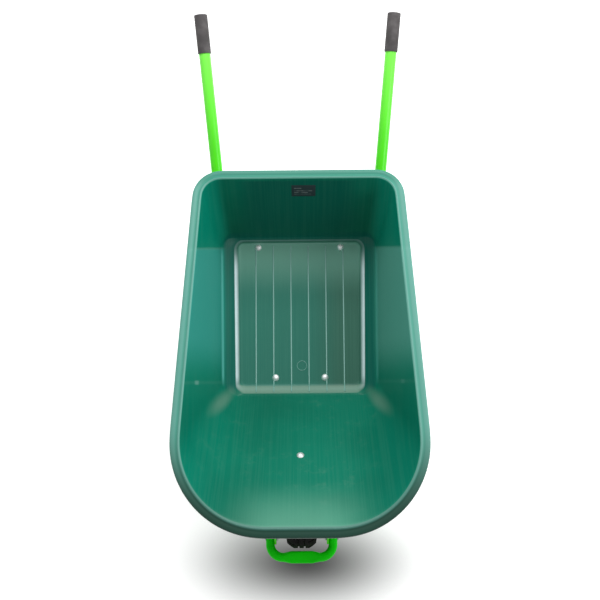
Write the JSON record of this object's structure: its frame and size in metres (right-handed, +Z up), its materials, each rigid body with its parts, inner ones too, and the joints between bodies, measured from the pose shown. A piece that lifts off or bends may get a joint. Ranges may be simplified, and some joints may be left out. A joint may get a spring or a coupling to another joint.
{
  "type": "wheelbarrow",
  "caption": "Single-wheel barrow: a deep moulded tray with a rolled rim on a bent tube frame with long handles, hoop legs, a nose hoop and a pneumatic wheel on ball bearings",
  "frame": {"origin": "on the ground, under the middle of the bounding box", "axes": "+Z up; -Y towards the wheel and nose hoop, +Y towards the handles; X across, the symmetry axis; the wheel spins about X"},
  "size_m": [0.6512, 1.5717, 0.6542],
  "materials": {
    "tray_plastic": "glossy moulded polyethylene, dark green",
    "label": "printed film, left blank",
    "grip_rubber": "smooth matt rubber, dark grey",
    "plug_plastic": "black moulded plastic",
    "nose_paint": "glossy powder coat, green",
    "frame_paint": "glossy powder coat, lime green",
    "tyre_rubber": "black tyre rubber with shoulder blocks",
    "tube_rubber": "black butyl rubber",
    "wheel_paint": "dark grey painted pressed steel",
    "bearing_steel": "ground bearing steel",
    "bright_steel": "bright domed bolt heads",
    "zinc_steel": "zinc plated steel"
  },
  "bodies": {
    "chassis": {"tray": "tray_plastic", "tray_label": "label", "rail_left": "frame_paint", "rail_right": "frame_paint", "grip_left": "grip_rubber", "grip_right": "grip_rubber", "nose_hoop": "nose_paint", "front_stay": "frame_paint", "rear_cross_member": "frame_paint", "front_cross_member": "frame_paint", "leg_left": "frame_paint", "leg_right": "frame_paint", "leg_brace": "frame_paint", "foot_left": "frame_paint", "foot_right": "frame_paint", "axle_plate_left": "frame_paint", "axle_plate_right": "frame_paint", "axle_bolt": "zinc_steel", "axle_nut": "zinc_steel", "axle_washers": "zinc_steel", "axle_spacer_left": "zinc_steel", "axle_spacer_right": "zinc_steel", "axle_inner_sleeve": "zinc_steel", "bearing_inner_rings": "bearing_steel", "floor_bolts": "bright_steel", "floor_washers": "zinc_steel", "floor_nuts": "zinc_steel", "stay_bolt": "bright_steel", "stay_washer": "zinc_steel", "stay_nut": "zinc_steel", "foot_bolts": "zinc_steel", "foot_nuts": "zinc_steel", "rail_plug_left": "plug_plastic", "rail_plug_right": "plug_plastic"},
    "wheel": {"bearing_outer_rings": "bearing_steel", "bearing_balls": "bearing_steel", "wheel_hub": "wheel_paint", "wheel_disc_left": "wheel_paint", "wheel_disc_right": "wheel_paint", "wheel_bolts": "zinc_steel", "wheel_nuts": "zinc_steel", "tyre": "tyre_rubber", "inner_tube": "tube_rubber", "valve_stem": "tube_rubber", "valve_cap": "tube_rubber"}
  },
  "joints": [
    {"name": "wheel_spin", "type": "hinge", "parent": "chassis", "child": "wheel", "pos_m": [0, -0.54781, 0.195], "axis": [1, 0, 0], "continuous": true}
  ]
}
